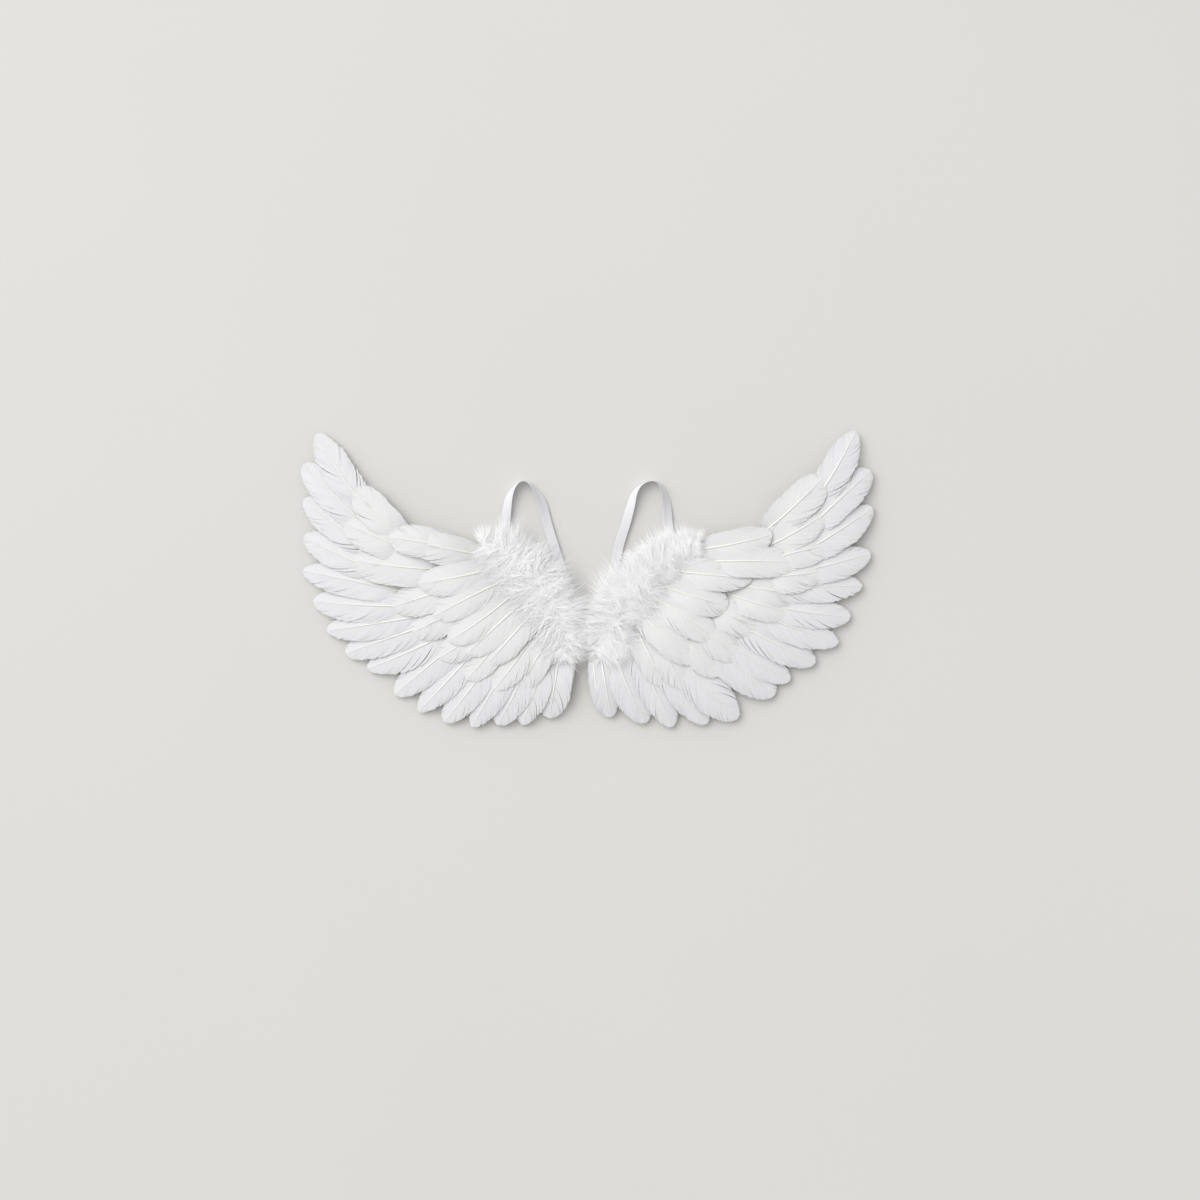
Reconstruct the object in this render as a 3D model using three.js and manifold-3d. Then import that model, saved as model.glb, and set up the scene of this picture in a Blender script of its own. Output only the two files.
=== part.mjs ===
// Feather costume wings: two wings of layered feathers on one felt back panel, with a
// marabou trim over the quills and a flat elastic arm loop at the top of each wing.
// Millimetres, +Z up. The wings lie on their back: z = 0 is the underside of the panel,
// +X runs along the span and +Y towards the wing tips' side. Left and right are as seen
// from the feathered front.

import * as THREE from 'three';
import { mergeVertices } from 'three/addons/utils/BufferGeometryUtils.js';
import Module from 'manifold-3d';

const wasm = await Module();
wasm.setup();

// Driving sizes
const GAP = 0.3;
const PANEL_THICKNESS = 2;
const PANEL_OUTLINE_STEPS = 64;
const VANE_THICKNESS = 0.5;
const SHAFT_RIDGE = 0.3;
const SHINGLE_SLOPE = 0.13;
const QUILL_LIFT = 0.3;
const QUILL_BASE = PANEL_THICKNESS + GAP + QUILL_LIFT;
const TAPE_WIDTH = 6;
const TAPE_THICKNESS = 1.4;
const STRAP_WIDTH = 10;
const STRAP_THICKNESS = 1;
const STRAP_STEPS = 32;
const STRAP_ON_PANEL = PANEL_THICKNESS + GAP + STRAP_THICKNESS / 2;
const MARABOU_FLATTENING = 0.38;
const MARABOU_SIDES = 8;
const MARABOU_STEPS = 9;
const TUFT_ROUNDS = 6;
const TUFT_TURNS = [-18, 22, 64, 116, 158, 198];
const TUFT_SIDES = 4;
const TUFT = { width: 0.8, foot: 0.6, lean: 0.5, length: 0.95, lengthSpread: 0.2 };

// Outline of one feather, from the quill's end to the tip: how far along its length, and
// how much of its half width it reaches there.
const FEATHER_OUTLINE = [
  { along: 0.0, reach: 0.07 },
  { along: 0.06, reach: 0.12 },
  { along: 0.2, reach: 0.52 },
  { along: 0.36, reach: 0.86 },
  { along: 0.55, reach: 1.0 },
  { along: 0.75, reach: 0.97 },
  { along: 0.88, reach: 0.8 },
  { along: 0.96, reach: 0.52 },
  { along: 1.0, reach: 0.16 },
];

// Each row of feathers: its usual width, how far it climbs from the panel, within what
// distance from the quill, and the even slope that brings its tips down again.
const FLIGHT = { width: 33, climb: 6.5, within: 78, slope: -0.064 };
const MIDDLE = { width: 30, climb: 11, within: 80, slope: -0.034 };
const INNER = { width: 29, climb: 15, within: 87, slope: -0.034 };

// Flight feathers from the wing tip round to the centre: where each tip and quill lies.
const LEFT_FLIGHT = [
  { tip: [-285, 154], quill: [-223, 63] },
  { tip: [-299, 122], quill: [-222, 46] },
  { tip: [-299, 85], quill: [-214, 24] },
  { tip: [-299, 46], quill: [-201, 3] },
  { tip: [-300, 10], quill: [-184, -15] },
  { tip: [-289, -22], quill: [-168, -27] },
  { tip: [-275, -53], quill: [-156, -34] },
  { tip: [-255, -77], quill: [-143, -39] },
  { tip: [-232, -93], quill: [-127, -44] },
  { tip: [-203, -120], quill: [-106, -40] },
  { tip: [-178, -138], quill: [-92, -43] },
  { tip: [-151, -149], quill: [-77, -48] },
  { tip: [-122, -154], quill: [-63, -54] },
  { tip: [-95, -152], quill: [-51, -58] },
  { tip: [-69, -152], quill: [-38, -63] },
  { tip: [-41, -145], quill: [-28, -67] },
  { tip: [-30, -128], quill: [-19, -70], width: 13 },
];
const RIGHT_FLIGHT = [
  { tip: [281, 156], quill: [229, 71] },
  { tip: [297, 115], quill: [219, 42], width: 36 },
  { tip: [299, 76], quill: [207, 19], width: 36 },
  { tip: [297, 28], quill: [186, 2] },
  { tip: [288, -6], quill: [170, -10] },
  { tip: [276, -39], quill: [159, -19] },
  { tip: [263, -66], quill: [147, -26] },
  { tip: [239, -87], quill: [133, -34] },
  { tip: [212, -106], quill: [117, -42] },
  { tip: [196, -121], quill: [102, -47], width: 43 },
  { tip: [157, -146], quill: [78, -55], width: 42 },
  { tip: [125, -151], quill: [60, -58] },
  { tip: [89, -154], quill: [41, -56] },
  { tip: [61, -150], quill: [25, -66] },
  { tip: [24, -144], quill: [11, -68], width: 28 },
  { tip: [13, -138], quill: [5, -71], width: 13 },
];

// Covert feathers, in the same order.
const LEFT_MIDDLE = [
  { tip: [-243, 96], quill: [-181, 33] },
  { tip: [-256, 60], quill: [-176, 24] },
  { tip: [-246, 21], quill: [-155, 10] },
  { tip: [-205, -28], quill: [-124, -1] },
  { tip: [-184, -55], quill: [-105, -14] },
  { tip: [-156, -82], quill: [-85, -27] },
  { tip: [-127, -104], quill: [-66, -37], width: 27 },
  { tip: [-99, -115], quill: [-48, -44], width: 27 },
  { tip: [-72, -112], quill: [-36, -46], width: 26 },
];
const RIGHT_MIDDLE = [
  { tip: [246, 107], quill: [180, 46], width: 32 },
  { tip: [249, 70], quill: [175, 29] },
  { tip: [251, 37], quill: [170, 16] },
  { tip: [246, 10], quill: [165, 4] },
  { tip: [218, -15], quill: [144, -3] },
  { tip: [213, -35], quill: [133, -10] },
  { tip: [181, -49], quill: [115, -18] },
  { tip: [159, -82], quill: [97, -32] },
  { tip: [138, -100], quill: [83, -38], width: 27 },
  { tip: [101, -114], quill: [65, -42], width: 27 },
  { tip: [80, -110], quill: [46, -42], width: 26 },
];
const LEFT_INNER = [
  { tip: [-209, 45], quill: [-125, 31] },
  { tip: [-181, 41], quill: [-105, 26] },
  { tip: [-178, -4], quill: [-87, 15] },
  { tip: [-162, -38], quill: [-79, 4] },
  { tip: [-146, -64], quill: [-70, -7] },
  { tip: [-127, -77], quill: [-60, -15], width: 27 },
  { tip: [-105, -87], quill: [-48, -22], width: 27 },
];
const RIGHT_INNER = [
  { tip: [187, 47], quill: [104, 31] },
  { tip: [218, 19], quill: [99, 19] },
  { tip: [173, 3], quill: [76, 12] },
  { tip: [147, -27], quill: [63, -1] },
  { tip: [136, -61], quill: [54, -9] },
  { tip: [111, -86], quill: [43, -19], width: 27 },
];

// Right half of the panel's outline, from the top of the centre round to its bottom.
const PANEL_HALF = [
  { at: [0, -26] },
  { at: [23, -10] },
  { at: [54, 17] },
  { at: [88, 33] },
  { at: [128, 36] },
  { at: [170, 39] },
  { at: [200, 58] },
  { at: [222, 78] },
  { at: [235, 64] },
  { at: [228, 26] },
  { at: [206, -10] },
  { at: [175, -36] },
  { at: [133, -57] },
  { at: [86, -70] },
  { at: [44, -77] },
  { at: [0, -76] },
];

// Marabou trim: the middle of its core along the wing's edge, its height and its radius.
const LEFT_MARABOU = [
  { at: [-109, 38], z: 13.5, radius: 9 },
  { at: [-91, 32], z: 13.5, radius: 15 },
  { at: [-69, 17], z: 13.5, radius: 18 },
  { at: [-50, -7], z: 13.5, radius: 18 },
  { at: [-35, -31], z: 13, radius: 16 },
  { at: [-27, -55], z: 12.2, radius: 14 },
  { at: [-24, -78], z: 11.4, radius: 8 },
];
const RIGHT_MARABOU = [
  { at: [113, 40], z: 13.5, radius: 9 },
  { at: [93, 33], z: 13.5, radius: 15 },
  { at: [70, 18], z: 13.5, radius: 18 },
  { at: [48, -6], z: 13.5, radius: 18 },
  { at: [30, -31], z: 13, radius: 17 },
  { at: [18, -55], z: 12.2, radius: 14 },
  { at: [13, -78], z: 11.4, radius: 8 },
];

// Arm loops: the middle of the band from end to end, and how far it leans from lying flat
// towards standing on its edge, in degrees.
const LEFT_LOOP = [
  { at: [-88, 25], z: STRAP_ON_PANEL, lean: 0 },
  { at: [-88, 36], z: STRAP_ON_PANEL, lean: 0 },
  { at: [-87, 48], z: STRAP_ON_PANEL, lean: 0 },
  { at: [-86, 67], z: 3.2, lean: 10 },
  { at: [-83, 86], z: 4.2, lean: 40 },
  { at: [-77, 98], z: 5.2, lean: 75 },
  { at: [-69, 104], z: 5.4, lean: 90 },
  { at: [-61, 101], z: 5.3, lean: 80 },
  { at: [-54, 92], z: 4.7, lean: 55 },
  { at: [-48, 81], z: 3.9, lean: 28 },
  { at: [-43, 60], z: 3.1, lean: 8 },
  { at: [-36, 37], z: STRAP_ON_PANEL, lean: 0 },
  { at: [-27, 9], z: STRAP_ON_PANEL, lean: 0 },
  { at: [-19, -12], z: STRAP_ON_PANEL, lean: 0 },
  { at: [-14, -28], z: STRAP_ON_PANEL, lean: 0 },
];
const RIGHT_LOOP = [
  { at: [14, -28], z: STRAP_ON_PANEL, lean: 0 },
  { at: [19, -12], z: STRAP_ON_PANEL, lean: 0 },
  { at: [26, 7], z: STRAP_ON_PANEL, lean: 0 },
  { at: [33, 37], z: STRAP_ON_PANEL, lean: 0 },
  { at: [40, 60], z: 3.1, lean: 8 },
  { at: [45, 78], z: 3.9, lean: 28 },
  { at: [49, 91], z: 4.7, lean: 55 },
  { at: [56, 100], z: 5.3, lean: 80 },
  { at: [66, 104], z: 5.4, lean: 90 },
  { at: [74, 102], z: 5.2, lean: 80 },
  { at: [80, 92], z: 4.6, lean: 52 },
  { at: [83, 77], z: 3.7, lean: 25 },
  { at: [84, 62], z: 3.1, lean: 6 },
  { at: [86, 46], z: STRAP_ON_PANEL, lean: 0 },
  { at: [88, 36], z: STRAP_ON_PANEL, lean: 0 },
  { at: [88, 25], z: STRAP_ON_PANEL, lean: 0 },
];

// Materials
const featherLook = { color: 0xf3f1f3, roughness: 0.75, metalness: 0 };
const marabouLook = { color: 0xf7f6f6, roughness: 0.9, metalness: 0 };
const strapLook = { color: 0xf1f0ee, roughness: 0.7, metalness: 0 };
const panelLook = { color: 0xe8e6e2, roughness: 0.95, metalness: 0 };

const UP = new THREE.Vector3(0, 0, 1);

// A closed solid through rings of points that all have the same number of points.
function loft(rings) {
  const count = rings[0].length;
  const positions = rings.flat().flatMap((point) => [point.x, point.y, point.z]);
  const index = [];
  for (let ring = 0; ring < rings.length - 1; ring += 1) {
    for (let i = 0; i < count; i += 1) {
      const a = ring * count + i;
      const b = ring * count + ((i + 1) % count);
      index.push(a, b, b + count, a, b + count, a + count);
    }
  }
  const last = (rings.length - 1) * count;
  for (let i = 1; i < count - 1; i += 1) {
    index.push(0, i + 1, i);
    index.push(last, last + i, last + i + 1);
  }
  return facingOut(positions, index);
}

// Turns every triangle over when the faces point inwards.
function facingOut(positions, index) {
  const corner = (i) => new THREE.Vector3().fromArray(positions, 3 * i);
  let volume = 0;
  for (let i = 0; i < index.length; i += 3) {
    const [a, b, c] = [corner(index[i]), corner(index[i + 1]), corner(index[i + 2])];
    volume += a.dot(b.cross(c));
  }
  const geometry = new THREE.BufferGeometry();
  geometry.setAttribute('position', new THREE.Float32BufferAttribute(positions, 3));
  geometry.setIndex(volume < 0 ? index.reverse() : index);
  return geometry;
}

function toManifold(geometry) {
  const plain = geometry.clone();
  plain.deleteAttribute('normal');
  plain.deleteAttribute('uv');
  const merged = mergeVertices(plain, 1e-4);
  const mesh = new wasm.Mesh({
    numProp: 3,
    vertProperties: new Float32Array(merged.attributes.position.array),
    triVerts: new Uint32Array(merged.index.array),
  });
  return new wasm.Manifold(mesh);
}

// Joins solids that overlap into one.
function fuse(geometries) {
  let whole = toManifold(geometries[0]);
  for (const geometry of geometries.slice(1)) {
    whole = whole.add(toManifold(geometry));
  }
  const mesh = whole.getMesh();
  const geometry = new THREE.BufferGeometry();
  geometry.setAttribute('position', new THREE.Float32BufferAttribute(mesh.vertProperties, 3));
  geometry.setIndex(Array.from(mesh.triVerts));
  return geometry;
}

// Height of a feather's underside above its quill, a distance from the quill's end.
function climbAt(row, distance) {
  const part = Math.min(distance / row.within, 1);
  return row.climb * (1 - (1 - part) ** 2) + row.slope * distance;
}

// One feather: a thin vane with a ridge along its shaft. It leans so that the edge towards
// the next feather of the row lies over that feather.
function feather(row, { tip, quill, width = row.width }, nextSide) {
  const start = new THREE.Vector2(...quill);
  const axis = new THREE.Vector2(...tip).sub(start);
  const length = axis.length();
  axis.normalize();
  const toNext = new THREE.Vector2(axis.y, -axis.x).multiplyScalar(nextSide);
  const rings = FEATHER_OUTLINE.map(({ along, reach }) => {
    const middle = start.clone().addScaledVector(axis, along * length);
    const half = (reach * width) / 2;
    const base = QUILL_BASE + climbAt(row, along * length);
    const point = (sideways, above) => new THREE.Vector3(
      middle.x + toNext.x * sideways,
      middle.y + toNext.y * sideways,
      base + SHINGLE_SLOPE * sideways + above,
    );
    return [
      point(0, 0),
      point(half, 0),
      point(half, VANE_THICKNESS),
      point(0, VANE_THICKNESS + SHAFT_RIDGE),
      point(-half, VANE_THICKNESS),
      point(-half, 0),
    ];
  });
  return loft(rings);
}

// A band of given width and thickness along a table of places, leaning as each row says.
function band(places, width, thickness, steps) {
  const line = new THREE.CatmullRomCurve3(
    places.map(({ at, z }) => new THREE.Vector3(at[0], at[1], z)),
  );
  const leaning = new THREE.CatmullRomCurve3(
    places.map(({ lean }) => new THREE.Vector3(lean, 0, 0)),
    false,
    'catmullrom',
  );
  const rings = [];
  for (let step = 0; step <= steps; step += 1) {
    const t = step / steps;
    const middle = line.getPoint(t);
    const along = line.getTangent(t);
    const level = new THREE.Vector3().crossVectors(along, UP).normalize();
    const lean = THREE.MathUtils.degToRad(leaning.getPoint(t).x);
    const across = level.multiplyScalar(Math.cos(lean)).addScaledVector(UP, Math.sin(lean));
    const through = new THREE.Vector3().crossVectors(along, across).normalize();
    const corner = (side, face) => middle.clone()
      .addScaledVector(across, (side * width) / 2)
      .addScaledVector(through, (face * thickness) / 2);
    rings.push([corner(-1, -1), corner(1, -1), corner(1, 1), corner(-1, 1)]);
  }
  return loft(rings);
}

// A row of coverts, each feather's quill sewn into one tape.
function covertRow(row, feathers, nextSide) {
  const places = feathers.map(({ quill, tip }) => {
    const inwards = new THREE.Vector2(...tip).sub(new THREE.Vector2(...quill)).normalize();
    const at = new THREE.Vector2(...quill).addScaledVector(inwards, TAPE_WIDTH / 3);
    return { at: [at.x, at.y], z: PANEL_THICKNESS + GAP + TAPE_THICKNESS / 2, lean: 0 };
  });
  const tape = band(places, TAPE_WIDTH, TAPE_THICKNESS, 2 * feathers.length);
  return fuse([tape, ...feathers.map((one) => feather(row, one, nextSide))]);
}

// Marabou trim: a soft core with tufts all along its top and sides.
function marabou(places, side) {
  const line = new THREE.CatmullRomCurve3(
    places.map(({ at, z }) => new THREE.Vector3(at[0], at[1], z)),
  );
  const thickness = new THREE.CatmullRomCurve3(
    places.map(({ radius }) => new THREE.Vector3(radius, 0, 0)),
    false,
    'catmullrom',
  );
  const outwards = (t, turn) => {
    const along = line.getTangent(t).setZ(0).normalize();
    const across = new THREE.Vector3(along.y, -along.x, 0).multiplyScalar(-side);
    return across.multiplyScalar(Math.cos(turn))
      .addScaledVector(UP, MARABOU_FLATTENING * Math.sin(turn));
  };
  const rings = [];
  for (let step = 0; step <= MARABOU_STEPS; step += 1) {
    const t = step / MARABOU_STEPS;
    const middle = line.getPoint(t);
    const radius = thickness.getPoint(t).x;
    rings.push(Array.from({ length: MARABOU_SIDES }, (_, i) => {
      const turn = (2 * Math.PI * i) / MARABOU_SIDES;
      return middle.clone().addScaledVector(outwards(t, turn), radius);
    }));
  }
  return fuse([loft(rings), ...tufts(line, thickness, outwards)]);
}

// Tufts of the marabou: cones that stand out from the core and lean along it. Their sizes
// are parts of the core's radius where they stand.
function tufts(line, thickness, outwards) {
  const cones = [];
  for (let round = 0; round < TUFT_ROUNDS; round += 1) {
    TUFT_TURNS.forEach((degrees, place) => {
      const stagger = place % 2 === 0 ? 0.25 : 0.75;
      const t = (round + stagger) / TUFT_ROUNDS;
      const radius = thickness.getPoint(t).x;
      const out = outwards(t, THREE.MathUtils.degToRad(degrees));
      const spread = TUFT.lengthSpread * Math.sin(5 * round + 2 * place);
      const length = radius * (TUFT.length + spread);
      const pointing = out.clone().addScaledVector(line.getTangent(t), TUFT.lean).normalize();
      const cone = new THREE.ConeGeometry((TUFT.width * radius) / 2, length, TUFT_SIDES, 1);
      cone.translate(0, length / 2, 0);
      cone.applyQuaternion(
        new THREE.Quaternion().setFromUnitVectors(new THREE.Vector3(0, 1, 0), pointing),
      );
      const start = line.getPoint(t).addScaledVector(out, TUFT.foot * radius);
      cone.translate(start.x, start.y, start.z);
      cones.push(cone);
    });
  }
  return cones;
}

function backPanel() {
  const right = PANEL_HALF.map(({ at }) => new THREE.Vector2(...at));
  const left = right.slice(1, -1).reverse().map((point) => new THREE.Vector2(-point.x, point.y));
  const outline = new THREE.SplineCurve([...right, ...left, right[0]]);
  const shape = new THREE.Shape(outline.getPoints(PANEL_OUTLINE_STEPS).slice(0, -1));
  const settings = { depth: PANEL_THICKNESS, bevelEnabled: false };
  return new THREE.ExtrudeGeometry(shape, settings);
}

const wings = new THREE.Group();

function addPiece(name, geometry, look) {
  const mesh = new THREE.Mesh(geometry, new THREE.MeshStandardMaterial(look));
  mesh.name = name;
  wings.add(mesh);
}

const SIDES = [
  {
    name: 'left',
    nextSide: -1,
    flight: LEFT_FLIGHT,
    middle: LEFT_MIDDLE,
    inner: LEFT_INNER,
    trim: LEFT_MARABOU,
    loop: LEFT_LOOP,
  },
  {
    name: 'right',
    nextSide: 1,
    flight: RIGHT_FLIGHT,
    middle: RIGHT_MIDDLE,
    inner: RIGHT_INNER,
    trim: RIGHT_MARABOU,
    loop: RIGHT_LOOP,
  },
];

addPiece('back_panel', backPanel(), panelLook);
for (const { name, nextSide, flight, middle, inner, trim, loop } of SIDES) {
  flight.forEach((one, i) => {
    const number = String(i + 1).padStart(2, '0');
    addPiece(`${name}_flight_${number}`, feather(FLIGHT, one, nextSide), featherLook);
  });
  addPiece(`${name}_middle_coverts`, covertRow(MIDDLE, middle, nextSide), featherLook);
  addPiece(`${name}_inner_coverts`, covertRow(INNER, inner, nextSide), featherLook);
  addPiece(`${name}_marabou`, marabou(trim, nextSide), marabouLook);
  addPiece(`${name}_arm_loop`, band(loop, STRAP_WIDTH, STRAP_THICKNESS, STRAP_STEPS), strapLook);
}

export default wings;
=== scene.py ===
# %% [markdown]
# # Feather costume wings
# A child's pair of dress-up wings lies on its back on a pale floor. Such wings are white
# feathers sewn by their quills to a felt panel, in three rows that cover each other like
# roof tiles, with a fluffy marabou trim over the last quills and two elastic arm loops.
# The imported solids are loaded first, because every piece made here has to lie where its
# solid lies.

# %% Load the solids
import math

import bmesh
import bpy
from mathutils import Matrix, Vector


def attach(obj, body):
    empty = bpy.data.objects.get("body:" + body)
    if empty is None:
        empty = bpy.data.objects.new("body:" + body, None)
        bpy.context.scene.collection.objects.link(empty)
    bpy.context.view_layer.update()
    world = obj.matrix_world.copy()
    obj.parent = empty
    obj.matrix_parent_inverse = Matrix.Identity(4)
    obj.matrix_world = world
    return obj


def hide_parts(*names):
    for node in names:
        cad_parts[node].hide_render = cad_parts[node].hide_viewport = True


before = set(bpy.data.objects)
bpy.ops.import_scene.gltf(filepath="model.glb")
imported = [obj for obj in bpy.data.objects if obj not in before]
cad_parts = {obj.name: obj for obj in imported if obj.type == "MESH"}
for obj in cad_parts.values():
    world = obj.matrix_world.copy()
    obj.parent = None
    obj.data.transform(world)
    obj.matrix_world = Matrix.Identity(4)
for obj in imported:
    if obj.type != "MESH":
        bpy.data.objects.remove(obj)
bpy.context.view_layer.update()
MM = 0.001
scene = bpy.context.scene

# %% [markdown]
# ## Floor, light and camera
# The wings were photographed from straight above. A camera far away keeps the view nearly
# parallel, and its lens is worked out from how much floor the picture takes in. A sun with
# a very wide disc, at the upper left, gives every feather a short soft shadow to its lower
# right. A weaker window lamp on the same side firms the shadows up, and a pale surround
# fills them, so that white stays white.

# %% Floor
FLOOR_SIZE = 6.0
FLOOR_DARK = (0.700, 0.692, 0.672, 1)
FLOOR_LIGHT = (0.722, 0.715, 0.696, 1)
CLOUD_SCALE = 2.0
FLOOR_ROUGHNESS = 0.9
FLOOR_SHINE = 0.1
# A Mix node has sockets for every kind of value. These are the places of its colours.
MIX_FIRST, MIX_SECOND, MIX_RESULT = 6, 7, 2


def floor_material():
    material = bpy.data.materials.new("paper_floor")
    material.use_nodes = True
    nodes, links = material.node_tree.nodes, material.node_tree.links
    shader = nodes["Principled BSDF"]
    place = nodes.new("ShaderNodeTexCoord")
    cloud = nodes.new("ShaderNodeTexNoise")
    cloud.inputs["Scale"].default_value = CLOUD_SCALE
    tint = nodes.new("ShaderNodeMix")
    tint.data_type = "RGBA"
    tint.inputs[MIX_FIRST].default_value = FLOOR_DARK
    tint.inputs[MIX_SECOND].default_value = FLOOR_LIGHT
    links.new(place.outputs["Object"], cloud.inputs["Vector"])
    links.new(cloud.outputs["Fac"], tint.inputs["Factor"])
    links.new(tint.outputs[MIX_RESULT], shader.inputs["Base Color"])
    shader.inputs["Roughness"].default_value = FLOOR_ROUGHNESS
    shader.inputs["Specular IOR Level"].default_value = FLOOR_SHINE
    return material


def paper_floor():
    half = FLOOR_SIZE / 2
    mesh = bpy.data.meshes.new("paper_floor")
    corners = [(-half, -half, 0), (half, -half, 0), (half, half, 0), (-half, half, 0)]
    mesh.from_pydata(corners, [], [(0, 1, 2, 3)])
    mesh.materials.append(floor_material())
    sheet = bpy.data.objects.new("paper_floor", mesh)
    scene.collection.objects.link(sheet)
    return sheet


print("floor:", paper_floor().name)

# %% Camera
PICTURE_WIDTH = 1.2587
PICTURE_MIDDLE = (0.0126, -0.0210)
CAMERA_HEIGHT = 2.6
FEATHER_HEIGHT = 0.010
SENSOR_WIDTH = 36.0

lens = bpy.data.cameras.new("camera")
lens.sensor_width = SENSOR_WIDTH
lens.lens = SENSOR_WIDTH * (CAMERA_HEIGHT - FEATHER_HEIGHT) / PICTURE_WIDTH
camera = bpy.data.objects.new("camera", lens)
camera.location = (*PICTURE_MIDDLE, CAMERA_HEIGHT)
scene.collection.objects.link(camera)
scene.camera = camera
print("lens:", round(lens.lens, 1), "mm")

# %% Light
KEY_FROM = Vector((-1.0, 0.85, 1.1))
KEY_SPREAD = math.radians(75)
KEY_STRENGTH = 1.90
FILL_STRENGTH = 0.56
FILL_COLOUR = (1.0, 1.0, 0.99, 1)
WINDOW_FROM = Vector((-2.3, 1.9, 2.3))
WINDOW_SIZE = 1.6
WINDOW_POWER = 22.0


def hang_lamp(name, kind, place, strength):
    light = bpy.data.lights.new(name, kind)
    light.energy = strength
    lamp = bpy.data.objects.new(name, light)
    lamp.location = place
    lamp.rotation_euler = (-place).to_track_quat("-Z", "Y").to_euler()
    scene.collection.objects.link(lamp)
    return light


key = hang_lamp("key", "SUN", KEY_FROM, KEY_STRENGTH)
key.angle = KEY_SPREAD
window = hang_lamp("window", "AREA", WINDOW_FROM, WINDOW_POWER)
window.size = WINDOW_SIZE
surround = bpy.data.worlds.new("surround")
surround.use_nodes = True
surround.node_tree.nodes["Background"].inputs["Color"].default_value = FILL_COLOUR
surround.node_tree.nodes["Background"].inputs["Strength"].default_value = FILL_STRENGTH
scene.world = surround
scene.view_settings.view_transform = "Standard"
print("key lamp:", KEY_STRENGTH, "fill:", FILL_STRENGTH)

# %% [markdown]
# ## Sums in node trees
# A feather, a trim and a strap all follow rules, so Geometry Nodes make them. Rules are
# sums, and a tree of Math nodes is hard to read when each one is wired by hand. The small
# class below stands for a socket: adding or multiplying two of them lays a Math node, so a
# rule can be written as a line of arithmetic. It works in geometry and shader trees alike.

# %% A socket that can be calculated with
class Field:
    def __init__(self, tree, socket):
        self.tree = tree
        self.socket = socket

    def math(self, operation, *others):
        node = self.tree.nodes.new("ShaderNodeMath")
        node.operation = operation
        for socket, value in zip(node.inputs, (self, *others)):
            connect(self.tree, value, socket)
        return Field(self.tree, node.outputs[0])

    def __add__(self, other):
        return self.math("ADD", other)

    def __sub__(self, other):
        return self.math("SUBTRACT", other)

    def __mul__(self, other):
        return self.math("MULTIPLY", other)

    def __truediv__(self, other):
        return self.math("DIVIDE", other)

    def __pow__(self, other):
        return self.math("POWER", other)

    def __rsub__(self, other):
        return (self * -1) + other

    __radd__ = __add__
    __rmul__ = __mul__


def connect(tree, value, socket):
    if isinstance(value, Field):
        tree.links.new(value.socket, socket)
    elif isinstance(value, bpy.types.NodeSocket):
        tree.links.new(value, socket)
    else:
        socket.default_value = value


def lay(tree, kind, wires=None, **settings):
    node = tree.nodes.new(kind)
    for name, value in settings.items():
        setattr(node, name, value)
    for name, value in (wires or {}).items():
        connect(tree, value, node.inputs[name])
    return node


print("sums ready")

# %% Trees, and what grows from them
SOCKETS = {
    "float": "NodeSocketFloat",
    "int": "NodeSocketInt",
    "vector": "NodeSocketVector",
    "colour": "NodeSocketColor",
    "material": "NodeSocketMaterial",
    "shape": "NodeSocketGeometry",
}


def start_tree(name, kind, inputs, outputs):
    tree = bpy.data.node_groups.new(name, kind)
    for label, form in inputs.items():
        tree.interface.new_socket(label, in_out="INPUT", socket_type=SOCKETS[form])
    for label, form in outputs.items():
        tree.interface.new_socket(label, in_out="OUTPUT", socket_type=SOCKETS[form])
    entry = tree.nodes.new("NodeGroupInput")
    fields = {label: Field(tree, entry.outputs[label]) for label in inputs}
    return tree, fields, tree.nodes.new("NodeGroupOutput")


def grow(name, tree, values, path=None):
    piece = bpy.data.objects.new(name, path or bpy.data.meshes.new(name + "_seed"))
    scene.collection.objects.link(piece)
    modifier = piece.modifiers.new("grow", "NODES")
    modifier.node_group = tree
    for socket in tree.interface.items_tree:
        if socket.in_out == "INPUT" and socket.name in values:
            modifier[socket.identifier] = values[socket.name]
    depsgraph = bpy.context.evaluated_depsgraph_get()
    grown = bpy.data.meshes.new_from_object(piece.evaluated_get(depsgraph))
    seed = piece.data
    piece.modifiers.remove(modifier)
    piece.data = grown
    grown.name = name
    bpy.data.meshes.remove(seed)
    return piece


def path_mesh(name, rows, attributes):
    mesh = bpy.data.meshes.new(name)
    steps = [(i, i + 1) for i in range(len(rows) - 1)]
    mesh.from_pydata([row[:3] for row in rows], steps, [])
    for column, label in enumerate(attributes, start=3):
        values = mesh.attributes.new(label, "FLOAT", "POINT")
        values.data.foreach_set("value", [row[column] for row in rows])
    return mesh


print("tree helpers ready")

# %% Steps that several trees take
# A Random Value node has sockets for every kind of value. These are the places of its floats.
RANDOM_LOW, RANDOM_HIGH, RANDOM_VALUE = 2, 3, 1


def chance(tree, number, seed, low=0.0, high=1.0):
    node = lay(tree, "FunctionNodeRandomValue", data_type="FLOAT")
    connect(tree, low, node.inputs[RANDOM_LOW])
    connect(tree, high, node.inputs[RANDOM_HIGH])
    connect(tree, number, node.inputs["ID"])
    connect(tree, seed, node.inputs["Seed"])
    return Field(tree, node.outputs[RANDOM_VALUE])


def vector_parts(tree, vector):
    node = lay(tree, "ShaderNodeSeparateXYZ", {"Vector": vector})
    return [Field(tree, socket) for socket in node.outputs]


def marked(tree, shape, name, value):
    node = lay(tree, "GeometryNodeStoreNamedAttribute",
               {"Geometry": shape, "Name": name, "Value": value}, data_type="FLOAT", domain="POINT")
    return node.outputs["Geometry"]


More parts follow.
